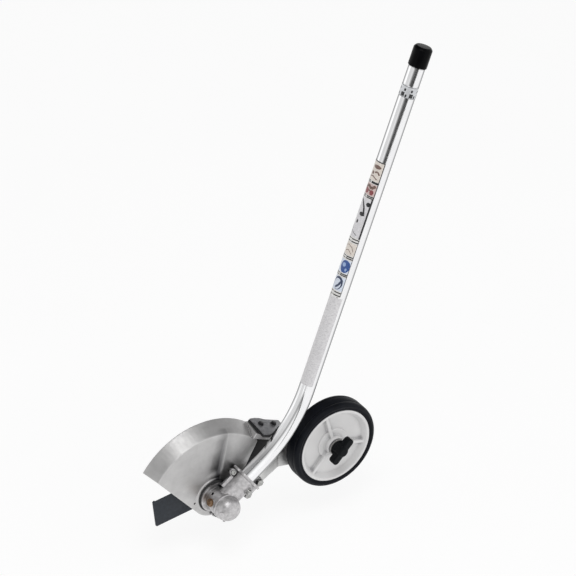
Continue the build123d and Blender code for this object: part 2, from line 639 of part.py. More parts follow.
bolts, nuts = [], []
for at in BOSS_BOLTS:
    axis = across(INPUT, 0, BOSS_Y, at)
    bolts.append(rod(axis, BOSS_NEAR, 20.5, 3.0) + hexagon(axis, BOSS_NEAR - 4, BOSS_NEAR, 10.0))
    nuts.append(hex_nut(axis, ARM_IN + ARM_THICK, ARM_IN + ARM_THICK + 5, 10.0, 3.02))
save("bracket_bolts", *bolts)
save("bracket_nuts", *nuts)

# ------------------------------------------------------------ wheel
KNOB_WASHER = (-7.0, -5.0)
arm_back = ARM_FACE + ARM_THICK
axle_bolt = rod(WHEEL, -17.0, arm_back + 2, 5.0)
axle_bolt += WHEEL.location * Pos(0, 0, ARM_FACE + 0.3) * extrude(Rectangle(10, 10), ARM_THICK + 1.5)
head = [(0, arm_back + 2), (10.5, arm_back + 2), (10.5, arm_back + 3.2), (8.2, arm_back + 5.8),
        (4.5, arm_back + 7.2), (0, arm_back + 7.5)]
axle_bolt += turned(WHEEL, head)
save("axle_bolt", axle_bolt)
back_washer = rod(WHEEL, arm_back, arm_back + 2, 14.0)
back_washer -= WHEEL.location * Pos(0, 0, arm_back - 1) * extrude(Rectangle(10.2, 10.2), 5)
save("back_washer", back_washer)
save("axle_sleeve", rod(WHEEL, KNOB_WASHER[1], ARM_FACE, SLEEVE_R, 5.1))
save("thrust_washer", rod(WHEEL, 34.4, ARM_FACE - 0.1, 14.0, SLEEVE_R + GRIP))

HUB_BOSS_R = 15.0
WEB = (9.0, 14.0)
hub_outline = [
    (10.0, -2.4),
    (HUB_BOSS_R - 1, -2.4),
    (HUB_BOSS_R, -1.4),
    (HUB_BOSS_R + 0.8, WEB[0]),
    (RIM_R - 10.0, WEB[0] - 1.0),
    (RIM_R - 6.0, 1.0),
    (RIM_R - 4.5, WHEEL_NEAR + 0.6),
    (RIM_R - 3.5, WHEEL_NEAR),
    (RIM_R - 0.4, WHEEL_NEAR),
    (RIM_R, WHEEL_NEAR + 0.6),
    (RIM_R, WHEEL_NEAR + 3.0),
    (RIM_R - 2, WHEEL_NEAR + 4.0),
    (RIM_R - 2, WHEEL_FAR - 4.0),
    (RIM_R, WHEEL_FAR - 3.0),
    (RIM_R, WHEEL_FAR),
    (RIM_R - 6.0, WHEEL_FAR),
    (RIM_R - 6.5, WEB[1] + 1),
    (HUB_BOSS_R + 1.2, WEB[1]),
    (HUB_BOSS_R + 0.4, 34.0),
    (10.0, 34.0),
]
wheel_hub = turned(WHEEL, hub_outline)
RIB_ANGLES = (105.0, 225.0, 345.0)
for angle in RIB_ANGLES:
    near_rib = Pos(36, 0, 5.4) * Box(42, 5, 8)
    wheel_hub += WHEEL.location * Rot(0, 0, -angle) * near_rib
for step in range(6):
    far_rib = Pos(35.5, 0, (WEB[1] - 1 + WHEEL_FAR) / 2) * Box(40, 3, WHEEL_FAR - WEB[1] + 1)
    wheel_hub += WHEEL.location * Rot(0, 0, 60 * step + 15) * far_rib
save("wheel_hub", wheel_hub)
bush = [(SLEEVE_R + RUN, 0), (10.0 - GRIP, 0), (10.0 - GRIP, 10), (SLEEVE_R + RUN, 10)]
save("hub_bushings", *[turned(WHEEL, [(r, h + at) for r, h in bush]) for at in (-2.0, 23.6)])

tyre_outline = [
    (RIM_R + GRIP, WHEEL_NEAR + 0.9),
    (TYRE_R - 6.0, WHEEL_NEAR + 0.2),
    (TYRE_R - 2.0, WHEEL_NEAR + 1.4),
    (TYRE_R - 0.3, WHEEL_NEAR + 4.0),
    (TYRE_R, WHEEL_NEAR + 6.5),
    (TYRE_R, WHEEL_NEAR + 8.0),
    (TYRE_R - 1.2, WHEEL_NEAR + 8.4),
    (TYRE_R - 1.2, WHEEL_NEAR + 9.6),
    (TYRE_R, WHEEL_NEAR + 10.0),
    (TYRE_R, WHEEL_FAR - 10.0),
    (TYRE_R - 1.2, WHEEL_FAR - 9.6),
    (TYRE_R - 1.2, WHEEL_FAR - 8.4),
    (TYRE_R, WHEEL_FAR - 8.0),
    (TYRE_R, WHEEL_FAR - 5.0),
    (TYRE_R - 0.3, WHEEL_FAR - 3.2),
    (TYRE_R - 1.8, WHEEL_FAR - 1.0),
    (TYRE_R - 6.0, WHEEL_FAR - 0.2),
    (RIM_R + GRIP, WHEEL_FAR - 0.9),
    (RIM_R + GRIP, WHEEL_FAR - 3.0),
    (RIM_R - 2 + GRIP, WHEEL_FAR - 4.1),
    (RIM_R - 2 + GRIP, WHEEL_NEAR + 4.1),
    (RIM_R + GRIP, WHEEL_NEAR + 3.0),
]
save("tyre", turned(WHEEL, tyre_outline))

# ------------------------------------------------------------ clamping knob
save("knob_washer", rod(WHEEL, KNOB_WASHER[0], KNOB_WASHER[1], 13.0, 5.3))
KNOB_AT = -16.6
KNOB_ANGLE = 45.0
knob_outline = [
    (0, -24.0), (6.5, -24.0), (9.0, -22.0), (9.6, KNOB_WASHER[0] - 2.5),
    (11.5, KNOB_WASHER[0] - 1.2), (11.5, KNOB_WASHER[0]), (0, KNOB_WASHER[0]),
]
knob = turned(WHEEL, knob_outline)
wing = extrude(SlotOverall(47, 11.5), 11.5)
knob += WHEEL.location * Rot(0, 0, -KNOB_ANGLE) * Pos(0, 0, KNOB_AT - 5.75) * wing
knob -= rod(WHEEL, -19.0, KNOB_WASHER[0] + 1, 7.0)
save("wing_knob", knob)
save("knob_insert", rod(WHEEL, -19.0 + GRIP, KNOB_WASHER[0], 7.0 - GRIP, 5.05))
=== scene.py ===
import json
import math

import bmesh
import bpy
import numpy as np
from mathutils import Matrix, Vector


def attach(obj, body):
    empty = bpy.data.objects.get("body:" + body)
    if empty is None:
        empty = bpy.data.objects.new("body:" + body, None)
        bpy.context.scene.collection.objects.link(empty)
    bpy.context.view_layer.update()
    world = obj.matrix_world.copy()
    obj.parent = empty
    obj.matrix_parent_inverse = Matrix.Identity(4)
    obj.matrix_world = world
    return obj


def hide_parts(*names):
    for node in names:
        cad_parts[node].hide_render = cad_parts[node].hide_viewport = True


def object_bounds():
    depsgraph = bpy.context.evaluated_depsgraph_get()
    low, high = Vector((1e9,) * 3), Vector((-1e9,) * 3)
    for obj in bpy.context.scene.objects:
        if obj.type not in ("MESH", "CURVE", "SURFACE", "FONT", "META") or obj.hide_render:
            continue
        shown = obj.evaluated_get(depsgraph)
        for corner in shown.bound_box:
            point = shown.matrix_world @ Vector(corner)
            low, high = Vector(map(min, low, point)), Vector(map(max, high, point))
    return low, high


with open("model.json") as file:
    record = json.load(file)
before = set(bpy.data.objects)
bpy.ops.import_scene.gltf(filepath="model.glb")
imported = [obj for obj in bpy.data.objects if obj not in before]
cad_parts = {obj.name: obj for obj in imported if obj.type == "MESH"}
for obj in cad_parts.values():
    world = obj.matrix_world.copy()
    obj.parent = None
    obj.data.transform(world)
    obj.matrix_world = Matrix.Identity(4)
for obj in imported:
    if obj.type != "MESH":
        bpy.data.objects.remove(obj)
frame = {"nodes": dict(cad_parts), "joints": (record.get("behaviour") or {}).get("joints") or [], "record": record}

CAD_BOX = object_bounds()
MM = 0.001

# ------------------------------------------------------------ places, from the record
JOINTS = {j["name"]: j for j in frame["joints"]}
GEAR = Vector(JOINTS["blade_spin"]["pos_m"])          # gear centre
WHEEL_AT = Vector(JOINTS["wheel_spin"]["pos_m"])
# The tube's legs in degrees above level; where they meet and how they bend, in millimetres
LOWER_ANGLE = 34.2
UPPER_ANGLE = 69.1
CORNER_AT = 154.0
BEND_R = 220.0


def unit(angle):
    """Unit vector in the XZ plane, `angle` degrees above +X."""
    a = math.radians(angle)
    return Vector((math.cos(a), 0.0, math.sin(a)))


def placed(origin, x, z):
    """Matrix of a frame standing at origin, from its x and z axes, in millimetres."""
    z = Vector(z).normalized()
    x = Vector(x).normalized()
    y = z.cross(x)
    turn = Matrix((x, y, z)).transposed().to_4x4()
    return Matrix.Translation(origin) @ turn @ Matrix.Scale(MM, 4)


LOWER_DIR = unit(LOWER_ANGLE)
UPPER_DIR = unit(UPPER_ANGLE)
CORNER = GEAR + LOWER_DIR * CORNER_AT * MM
INPUT = placed(GEAR, (0, 1, 0), LOWER_DIR)
UPPER = placed(CORNER, (0, 1, 0), UPPER_DIR)
OUTPUT = placed(GEAR, (1, 0, 0), (0, 1, 0))
AXLE_AT = Vector((WHEEL_AT.x, GEAR.y, WHEEL_AT.z))
WHEEL = placed(AXLE_AT, (1, 0, 0), (0, 1, 0))

# ------------------------------------------------------------ camera
VIEW_AZIMUTH = math.radians(33.21)
VIEW_HEIGHT = math.radians(33.40)
AIM_RIGHT = 99.17        # the picture's middle, in millimetres from the gear centre
AIM_UP = 322.25
CAMERA_AWAY = 5.0        # metres
CAMERA_LENS = 208.3      # millimetres, as is the sensor
CAMERA_SENSOR = 36.0
VIEW_RIGHT = Vector((math.cos(VIEW_AZIMUTH), -math.sin(VIEW_AZIMUTH), 0.0))
VIEW_BACK = Vector((-math.sin(VIEW_AZIMUTH) * math.cos(VIEW_HEIGHT),
                    -math.cos(VIEW_AZIMUTH) * math.cos(VIEW_HEIGHT), math.sin(VIEW_HEIGHT)))
VIEW_UP = VIEW_BACK.cross(VIEW_RIGHT)
AIM = GEAR + (VIEW_RIGHT * AIM_RIGHT + VIEW_UP * AIM_UP) * MM
camera = bpy.data.objects.new("camera", bpy.data.cameras.new("camera"))
camera.data.lens = CAMERA_LENS
camera.data.sensor_width = CAMERA_SENSOR
camera.data.clip_end = 60.0
camera.matrix_world = (Matrix.Translation(AIM + VIEW_BACK * CAMERA_AWAY)
                       @ Matrix((VIEW_RIGHT, VIEW_UP, VIEW_BACK)).transposed().to_4x4())
bpy.context.scene.collection.objects.link(camera)
bpy.context.scene.camera = camera


# ------------------------------------------------------------ node trees
class Tree:
    """Short way to add nodes to a tree and link them."""

    def __init__(self, tree):
        self.tree = tree

    def add(self, kind, **values):
        """A new node with some of its properties set."""
        node = self.tree.nodes.new(kind)
        for key, value in values.items():
            setattr(node, key, value)
        return node

    def link(self, output, socket):
        """Feed a socket from an output."""
        self.tree.links.new(output, socket)

    def calc(self, operation, first, second=None):
        """One step of arithmetic; each value is a number or an output."""
        node = self.add("ShaderNodeMath", operation=operation)
        for socket, value in zip(node.inputs, (first, second)):
            if value is None:
                continue
            if isinstance(value, (int, float)):
                socket.default_value = value
            else:
                self.link(value, socket)
        return node.outputs[0]

    def times(self, first, *others):
        """Product of all the values."""
        product = first
        for value in others:
            product = self.calc("MULTIPLY", product, value)
        return product

    def spread(self, value, low, high, to_low, to_high, kind="LINEAR"):
        """Map a value's range onto another."""
        node = self.add("ShaderNodeMapRange", interpolation_type=kind)
        for name, number in (("From Min", low), ("From Max", high), ("To Min", to_low),
                             ("To Max", to_high)):
            node.inputs[name].default_value = number
        self.link(value, node.inputs["Value"])
        return node.outputs["Result"]


class Nodes(Tree):
    """The nodes of one material, round its principled shader."""

    def __init__(self, material):
        super().__init__(material.node_tree)
        self.material = material
        self.shader = self.tree.nodes["Principled BSDF"]
        self.coords = self.add("ShaderNodeTexCoord").outputs["Object"]

    def stretched(self, scale, turn):
        """Coordinates turned and then scaled along each axis."""
        node = self.add("ShaderNodeMapping", vector_type="POINT")
        node.inputs["Rotation"].default_value = turn
        node.inputs["Scale"].default_value = scale
        self.link(self.coords, node.inputs["Vector"])
        return node.outputs[0]

    def noise(self, scale, detail=3.0, vector=None, rough=0.55):
        """Soft random values over the object, or over other coordinates."""
        node = self.add("ShaderNodeTexNoise")
        node.inputs["Scale"].default_value = scale
        node.inputs["Detail"].default_value = detail
        node.inputs["Roughness"].default_value = rough
        self.link(vector or self.coords, node.inputs["Vector"])
        return node.outputs["Fac"]

    def mixed(self, factor, first, second):
        """Colour mix; each of first and second is a colour or an output."""
        node = self.add("ShaderNodeMix", data_type="RGBA")
        self.link(factor, node.inputs["Factor"])
        for index, value in ((6, first), (7, second)):
            if isinstance(value, tuple):
                node.inputs[index].default_value = (*value, 1.0)
            else:
                self.link(value, node.inputs[index])
        return node.outputs[2]

    def overlay(self, mask, colour):
        """Lay a colour over the finished one, where the mask says."""
        base = self.shader.inputs["Base Color"]
        self.link(self.mixed(mask, base.links[0].from_socket, colour), base)

    def bump(self, height, strength, distance):
        """Relief on top of whatever relief there is; distance in metres."""
        node = self.add("ShaderNodeBump")
        node.inputs["Strength"].default_value = strength
        node.inputs["Distance"].default_value = distance
        self.link(height, node.inputs["Height"])
        previous = self.shader.inputs["Normal"]
        if previous.is_linked:
            self.link(previous.links[0].from_socket, node.inputs["Normal"])
        self.link(node.outputs["Normal"], previous)


def new_material(name):
    """The nodes of a new material."""
    material = bpy.data.materials.new(name)
    material.use_nodes = True
    return Nodes(material)


# ------------------------------------------------------------ materials
STREAK_DEPTH = 0.00005
WEAR_PATCHES = 260.0
COAT_ROUGHNESS = 0.1


def shade(colour, by):
    """A colour made darker or lighter."""
    return tuple(min(1.0, c * by) for c in colour)


def finish(name, colour, roughness, metallic=0.0, mottle=0.12, mottle_scale=45.0, vary=0.06,
           grain=0.15, grain_scale=1400.0, grain_depth=0.00006, edge=None, crevice_dark=None,
           streak=None, specular=0.5, coat=0.0, sheen=0.0, occlusion_shade=None, rim=None):
    """A material with mottled colour, uneven gloss, fine grain, and wear and painted shade if asked.

    streak is (scale, turn, darkness, relief); edge, lighter wear on ridges, and the crease darkening
    after it are (from, to, colour, strength) by how sharp the surface turns out or in; the occlusion
    argument, painted shade in recesses, is (distance, closed, open, colour); rim, painted shade
    towards the outline, is (from, to, strength, colour) by how far the surface turns from the eye.
    """
    n = new_material(name)
    cloud = n.noise(mottle_scale, 5.0)
    tone = n.mixed(n.spread(cloud, 0.3, 0.7, 0.0, 1.0), shade(colour, 1 - mottle),
                   shade(colour, 1 + mottle))
    gloss = n.spread(n.noise(mottle_scale * 3.1, 4.0), 0.3, 0.7, roughness - vary, roughness + vary)
    if streak:
        scale, turn, darkness, relief = streak
        lines = n.noise(1.0, 4.0, n.stretched(scale, turn), 0.7)
        tone = n.mixed(n.spread(lines, 0.35, 0.7, 0.0, darkness), tone, shade(colour, 0.6))
        n.bump(lines, relief, STREAK_DEPTH)
    if edge or crevice_dark:
        point = n.add("ShaderNodeNewGeometry").outputs["Pointiness"]
    if edge:
        low, high, bare, strength = edge
        patch = n.noise(WEAR_PATCHES, 4.0)
        worn = n.times(n.spread(point, low, high, 0.0, strength),
                       n.spread(patch, 0.35, 0.6, 0.3, 1.0))
        tone = n.mixed(worn, tone, bare)
    # darker colour in concave creases, by pointiness
    if crevice_dark:
        low, high, crevice_colour, strength = crevice_dark
        tone = n.mixed(n.spread(point, low, high, strength, 0.0), tone, crevice_colour)
    # painted shade: ambient occlusion darkens the colour in recesses
    if occlusion_shade:
        distance, closed, clear, shadow = occlusion_shade
        reach = n.add("ShaderNodeAmbientOcclusion", samples=8)
        reach.inputs["Distance"].default_value = distance
        tone = n.mixed(n.spread(reach.outputs["AO"], closed, clear, 1.0, 0.0), tone, shadow)
    # painted shade: the colour darkens where the surface turns away from the eye, towards the outline
    if rim:
        low, high, strength, dark = rim
        facing = n.add("ShaderNodeLayerWeight").outputs["Facing"]
        tone = n.mixed(n.spread(facing, low, high, 0.0, strength), tone, dark)
    if grain:
        n.bump(n.noise(grain_scale, 2.0), grain, grain_depth)
    n.link(tone, n.shader.inputs["Base Color"])
    n.link(gloss, n.shader.inputs["Roughness"])
    for socket, value in (("Metallic", metallic), ("Specular IOR Level", specular),
                          ("Coat Weight", coat), ("Coat Roughness", COAT_ROUGHNESS),
                          ("Sheen Weight", sheen)):
        n.shader.inputs[socket].default_value = value
    return n.material


TUBE_TURN = (0, math.radians(UPPER_ANGLE - 90), 0)      # lines up with the tube's upper leg
MATERIALS = {
    "polished_aluminium": finish(
        "polished_aluminium", (0.91, 0.91, 0.92), 0.10, 1.0, mottle=0.03, vary=0.03, grain=0.05,
        streak=((700, 700, 12), TUBE_TURN, 0.08, 0.05),
        # painted shade along the tube's outline
        rim=(0.42, 0.68, 0.95, (0.07, 0.075, 0.075))),
    "black_vinyl": finish("black_vinyl", (0.0015, 0.0015, 0.002), 0.30, mottle=0.2, vary=0.05,
                          grain=0.12, grain_scale=900, specular=0.06),
    "band_film": finish("band_film", (0.62, 0.63, 0.65), 0.3, 0.3, mottle=0.05, grain=0.03),
    "icon_film": finish("icon_film", (0.72, 0.71, 0.69), 0.28, mottle=0.05, grain=0.03, coat=0.3),
    "liner_nylon": finish("liner_nylon", (0.05, 0.05, 0.05), 0.5),
    "soft_rubber": finish("soft_rubber", (0.025, 0.025, 0.025), 0.75, grain=0.3),
    "cable_steel": finish("cable_steel", (0.36, 0.36, 0.37), 0.38, 1.0,
                          streak=((1500, 1500, 300), (0, 0.5, 0), 0.5, 0.5)),
    "bright_steel": finish("bright_steel", (0.60, 0.60, 0.61), 0.22, 1.0, mottle=0.08,
                           grain=0.08, streak=((60, 2600, 60), (0, 0, 0), 0.3, 0.1)),
    "bronze": finish("bronze", (0.42, 0.27, 0.11), 0.42, 1.0, mottle=0.2, grain=0.3),
    "cast_case": finish(
        "cast_case", (0.54, 0.53, 0.535), 0.43, 1.0, mottle=0.24, mottle_scale=190, vary=0.08,
        grain=0.35, grain_scale=2100, grain_depth=0.0001,
        edge=(0.52, 0.60, (0.82, 0.82, 0.82), 0.6), crevice_dark=(0.40, 0.485, (0.16, 0.15, 0.14), 0.85),
        # painted shade in recesses, by ambient occlusion
        occlusion_shade=(0.014, 0.34, 0.84, (0.03, 0.03, 0.035))),
    "zinc_steel": finish("zinc_steel", (0.42, 0.42, 0.41), 0.32, 1.0, mottle=0.22,
                         mottle_scale=300, grain=0.12),
    "yellow_zinc": finish("yellow_zinc", (0.24, 0.155, 0.095), 0.45, 1.0, mottle=0.45,
                          mottle_scale=420, grain=0.25),
    "gear_steel": finish("gear_steel", (0.36, 0.36, 0.37), 0.28, 1.0, mottle=0.12, grain=0.12,
                         streak=((50, 2400, 50), (0, 0, 0), 0.3, 0.12)),
    "cage_steel": finish("cage_steel", (0.48, 0.48, 0.47), 0.36, 1.0, grain=0.1),
    "spring_steel": finish("spring_steel", (0.05, 0.05, 0.055), 0.42, 0.6, grain=0.12),
    "dark_blade_steel": finish(
        "dark_blade_steel", (0.021, 0.026, 0.034), 0.48, 0.2, mottle=0.22, mottle_scale=220,
        vary=0.05, grain=0.10, grain_scale=1700, streak=((25, 900, 500), (0, 0, 0), 0.06, 0.02),
        specular=0.35),
    "cast_guard": finish(
        "cast_guard", (0.56, 0.555, 0.553), 0.44, 1.0, mottle=0.07, mottle_scale=60, vary=0.06,
        grain=0.30, grain_scale=1900, grain_depth=0.00008,
        edge=(0.515, 0.56, (0.78, 0.78, 0.78), 0.45), crevice_dark=(0.44, 0.49, (0.20, 0.19, 0.19), 0.5),
        streak=((40, 40, 500), (0, 0.5, 0), 0.10, 0.04),
        # painted shade in recesses, by ambient occlusion
        occlusion_shade=(0.007, 0.28, 0.72, (0.03, 0.03, 0.035))),
    "black_steel": finish("black_steel", (0.022, 0.022, 0.024), 0.36, 0.5, mottle=0.25, grain=0.2),
    "black_rubber": finish("black_rubber", (0.010, 0.010, 0.011), 0.72, mottle=0.3, grain=0.35,
                           grain_scale=1100, grain_depth=0.00012, sheen=0.05),
    "grey_plate": finish("grey_plate", (0.17, 0.17, 0.18), 0.46, 0.75, mottle=0.13,
                         mottle_scale=90, grain=0.25, edge=(0.51, 0.56, (0.45, 0.45, 0.46), 0.6)),
    "cast_arm": finish(
        "cast_arm", (0.60, 0.60, 0.595), 0.40, 1.0, mottle=0.08, grain=0.30, grain_scale=1900,
        edge=(0.51, 0.58, (0.82, 0.82, 0.82), 0.5), crevice_dark=(0.42, 0.485, (0.2, 0.19, 0.18), 0.6)),
    "grey_plastic": finish(
        "grey_plastic", (0.68, 0.675, 0.675), 0.40, mottle=0.04, mottle_scale=30, grain=0.22,
        grain_scale=1500, edge=(0.515, 0.58, (0.66, 0.66, 0.66), 0.4),
        crevice_dark=(0.42, 0.488, (0.30, 0.29, 0.28), 0.35),
        # painted shade in recesses, by ambient occlusion
        occlusion_shade=(0.008, 0.35, 0.85, (0.22, 0.22, 0.23))),
    "tyre_rubber": finish(
        "tyre_rubber", (0.004, 0.005, 0.008), 0.45, mottle=0.3, mottle_scale=70, vary=0.08,
        grain=0.25, grain_scale=1200, grain_depth=0.0001, specular=0.12),
    "black_plastic": finish("black_plastic", (0.004, 0.005, 0.006), 0.42, mottle=0.2, grain=0.3,
                            grain_scale=1300, grain_depth=0.00008, specular=0.08),
    "brass": finish("brass", (0.58, 0.42, 0.16), 0.30, 1.0, mottle=0.1, grain=0.1),
}


def print_film(name, colour):
    """Printed ink on a glossy film."""
    return finish(name, colour, 0.3, mottle=0.10, mottle_scale=300, grain=0.02, coat=0.3)


def text_film():
    """Pale film with a fine grey hatch, standing for small print that nobody can read."""
    n = new_material("text_film")
    across = n.noise(1.0, 3.0, n.stretched((260, 260, 1500), TUBE_TURN), 0.6)
    ink = n.spread(across, 0.50, 0.58, 0.0, 0.55)
    paper = n.mixed(n.noise(30.0), (0.66, 0.65, 0.66), (0.76, 0.75, 0.76))
    n.link(n.mixed(ink, paper, (0.40, 0.39, 0.41)), n.shader.inputs["Base Color"])
    n.link(n.spread(n.noise(120.0), 0.3, 0.7, 0.26, 0.36), n.shader.inputs["Roughness"])
    n.bump(n.noise(900.0), 0.03, 0.00003)
    n.shader.inputs["Coat Weight"].default_value = 0.25
    return n.material


MATERIALS["text_film"] = text_film()


# ------------------------------------------------------------ meshes
def dress(obj, slot_name, material=None):
    """Give an object its slot's material, or another one."""
    obj.data.materials.clear()
    obj.data.materials.append(material or MATERIALS[slot_name])


def piece(name, mesh, body, slot_name, nodes=(), material=None, smooth=35.0):
    """A finished mesh becomes a piece: smooth shading, the material of its slot, a body, and the CAD nodes it
    stands for hidden.
    """
    obj = bpy.data.objects.new(name, mesh)
    bpy.context.scene.collection.objects.link(obj)
    for polygon in mesh.polygons:
        polygon.use_smooth = True
    if smooth:
        mesh.set_sharp_from_angle(angle=math.radians(smooth))
    dress(obj, slot_name, material)
    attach(obj, body)
    if nodes:
        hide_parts(*nodes)
    return obj


def to_mesh(name, bm):
    """Turn a bmesh into a mesh with its faces outwards, and free it."""
    bmesh.ops.recalc_face_normals(bm, faces=bm.faces)
    mesh = bpy.data.meshes.new(name)
    bm.to_mesh(mesh)
    bm.free()
    return mesh


def ring_surface(bm, rings, closed):
    """Quads between rings of vertices; if closed, the last ring joins up with the first."""
    pairs = list(zip(rings, rings[1:]))
    if closed:
        pairs.append((rings[-1], rings[0]))
    for low, high in pairs:
        if len(low) == 1 and len(high) == 1:
            continue
        count = max(len(low), len(high))
        for i in range(count):
            j = (i + 1) % count
            if len(low) == 1:
                corners = (low[0], high[j], high[i])
            elif len(high) == 1:
                corners = (low[i], low[j], high[0])
            else:
                corners = (low[i], low[j], high[j], high[i])
            bm.faces.new(corners)


def lathe(bm, matrix, profile, segments, shape=None):
    """(radius, height) outline in mm, turned about a frame's z axis into a closed skin.

    shape(radius, height, angle) gives another radius, for a skin that isn't quite round.
    """
    rings = []
    for radius, height in profile:
        if radius < 1e-6:
            rings.append([bm.verts.new(matrix @ Vector((0, 0, height)))])
            continue
        ring = []
        for i in range(segments):
            a = 2 * math.pi * i / segments
            r = radius if shape is None else shape(radius, height, a)
            ring.append(bm.verts.new(matrix @ Vector((r * math.cos(a), r * math.sin(a), height))))
        rings.append(ring)
    open_axis = profile[0][0] < 1e-6 and profile[-1][0] < 1e-6
    ring_surface(bm, rings, not open_axis)


def rounded(points, sizes):
    """Round some corners of a closed (r, h) outline; sizes says which, by number, and how much."""
    steps = 4
    out = []
    for i, point in enumerate(points):
        if i not in sizes:
            out.append(point)
            continue
        here = Vector(point)
        into = Vector(points[i - 1]) - here
        away = Vector(points[(i + 1) % len(points)]) - here
        cut = min(sizes[i], into.length * 0.45, away.length * 0.45)
        start = here + into.normalized() * cut
        end = here + away.normalized() * cut
        for k in range(steps + 1):
            t = k / steps
            at = start * (1 - t) ** 2 + here * 2 * t * (1 - t) + end * t ** 2
            out.append((at.x, at.y))
    return out


def cad_copy(*nodes):
    """One welded bmesh of the given CAD nodes' triangles."""
    bm = bmesh.new()
    for node in nodes:
        source = frame["nodes"][node].data
        loose = bpy.data.meshes.new("loose")
        loose.from_pydata([v.co.copy() for v in source.vertices], [],
                          [tuple(p.vertices) for p in source.polygons])
        bm.from_mesh(loose)
        bpy.data.meshes.remove(loose)
    bmesh.ops.remove_doubles(bm, verts=bm.verts, dist=2e-6)
    return bm


def evaluated(bm, name, setup):
    """Apply modifiers, added by setup(obj), to a bmesh and give the resulting mesh."""
    obj = bpy.data.objects.new(name + "_work", to_mesh(name + "_work", bm))
    bpy.context.scene.collection.objects.link(obj)
    setup(obj)
    bpy.context.view_layer.update()
    graph = bpy.context.evaluated_depsgraph_get()
    mesh = bpy.data.meshes.new_from_object(obj.evaluated_get(graph))
    mesh.name = name
    bpy.data.objects.remove(obj)
    return mesh


def cast(name, bm, voxel, smooth_steps):
    """Union of everything in the bmesh with its corners rounded, as a casting has."""
    def setup(obj):
        remesh = obj.modifiers.new("remesh", "REMESH")
        remesh.mode = "VOXEL"
        remesh.voxel_size = voxel * MM
        smooth = obj.modifiers.new("smooth", "SMOOTH")
        smooth.factor = 0.5
        smooth.iterations = smooth_steps
    return evaluated(bm, name, setup)


def softened(name, bm, width):
    """Edges broken by a small bevel, its width in mm."""
    bmesh.ops.dissolve_limit(bm, angle_limit=math.radians(0.6), verts=bm.verts, edges=bm.edges)

    def setup(obj):
        bevel = obj.modifiers.new("bevel", "BEVEL")
        bevel.width = width * MM
        bevel.segments = 2
        bevel.limit_method = "ANGLE"
        bevel.angle_limit = math.radians(28.0)
        bevel.use_clamp_overlap = True
    return evaluated(bm, name, setup)


def soft_piece(name, node, body, slot_name, width):
    """A CAD node with its edges broken, as a piece that replaces it."""
    return piece(name, softened(name, cad_copy(node), width), body, slot_name, (node,), smooth=32)


def smoothstep(low, high, value):
    """0 below low, 1 above high, and a soft rise between."""
    t = min(1.0, max(0.0, (value - low) / (high - low)))
    return t * t * (3 - 2 * t)


# ------------------------------------------------------------ drive tube, cap and labels
TUBE_R = 12.7
TUBE_BORE_R = 11.1
TUBE_SIDES = 120
TUBE_START = 35.0        # up the lower leg from the gear centre
PLAIN_END = 569.5        # up the upper leg from the corner, like the next two
LOCATING_HOLE_AT = 590.0
# (height, radius): the insertion groove, a full-size length and the turned end
TURNED_END = [(569.6, 12.4), (570.9, 12.4), (571.0, 12.7), (597.8, 12.7), (598.0, 12.5),
              (598.1, 12.3), (626.4, 12.3), (626.8, 12.15), (627.0, 11.9), (627.0, 11.3),
              (626.8, 11.1)]


def tube_stations():
    """(point in mm from the gear centre, direction) along the tube's plain length."""
    reach = BEND_R * math.tan(math.radians(UPPER_ANGLE - LOWER_ANGLE) / 2)
    stations = []
    for at in np.linspace(TUBE_START, CORNER_AT - reach, 9)[:-1]:
        stations.append((LOWER_DIR * at, LOWER_DIR))
    normal = Vector((-LOWER_DIR.z, 0, LOWER_DIR.x))
    centre = LOWER_DIR * (CORNER_AT - reach) + normal * BEND_R
    for turn in np.linspace(0, UPPER_ANGLE - LOWER_ANGLE, 41):
        a = math.radians(LOWER_ANGLE + turn)
        out = Vector((math.sin(a), 0, -math.cos(a)))
        stations.append((centre + out * BEND_R, unit(LOWER_ANGLE + turn)))
    corner = LOWER_DIR * CORNER_AT
    for at in np.linspace(reach, PLAIN_END, 24)[1:]:
        stations.append((corner + UPPER_DIR * at, UPPER_DIR))
    return stations


def build_tube():
    """Outer skin, turned end, bore and locating hole."""
    bm = bmesh.new()
    across = Vector((0, 1, 0))

    def ring(centre, direction, radius):
        normal = direction.cross(across)
        out = []
        for i in range(TUBE_SIDES):
            a = 2 * math.pi * i / TUBE_SIDES
            at = centre + (across * math.cos(a) + normal * math.sin(a)) * radius
            out.append(bm.verts.new(GEAR + at * MM))
        return out

    stations = tube_stations()
    corner = LOWER_DIR * CORNER_AT
    rings = [ring(centre, direction, TUBE_R) for centre, direction in stations]
    for height, radius in TURNED_END:
        rings.append(ring(corner + UPPER_DIR * height, UPPER_DIR, radius))
    for centre, direction in reversed(stations):
        rings.append(ring(centre, direction, TUBE_BORE_R))
    ring_surface(bm, rings, True)
    cutter = bmesh.new()
    hole_at = GEAR + (corner + UPPER_DIR * LOCATING_HOLE_AT) * MM
    outwards = placed(hole_at, (0, 1, 0), (UPPER_DIR.z, 0, -UPPER_DIR.x))
    lathe(cutter, outwards, [(0, 5), (3.5, 5), (3.5, 20), (0, 20)], 48)
    hole = bpy.data.objects.new("hole", to_mesh("hole", cutter))
    bpy.context.scene.collection.objects.link(hole)

    def setup(obj):
        cut = obj.modifiers.new("cut", "BOOLEAN")
        cut.operation = "DIFFERENCE"
        cut.solver = "EXACT"
        cut.object = hole
    mesh = evaluated(bm, "tube_skin", setup)
    bpy.data.objects.remove(hole)
    return mesh


piece("drive_tube_skin", build_tube(), "frame", "polished_aluminium", ("drive_tube",), smooth=25)

CAP_LOW = 599.0
CAP_TOP = 630.0


def cap_ripple(radius, height, angle):
    """The vinyl's outside goes slightly out of round towards its top."""
    if radius <= 10:
        return radius
    return radius + 0.12 * math.sin(3 * angle + 0.8) * smoothstep(CAP_LOW, CAP_TOP, height)


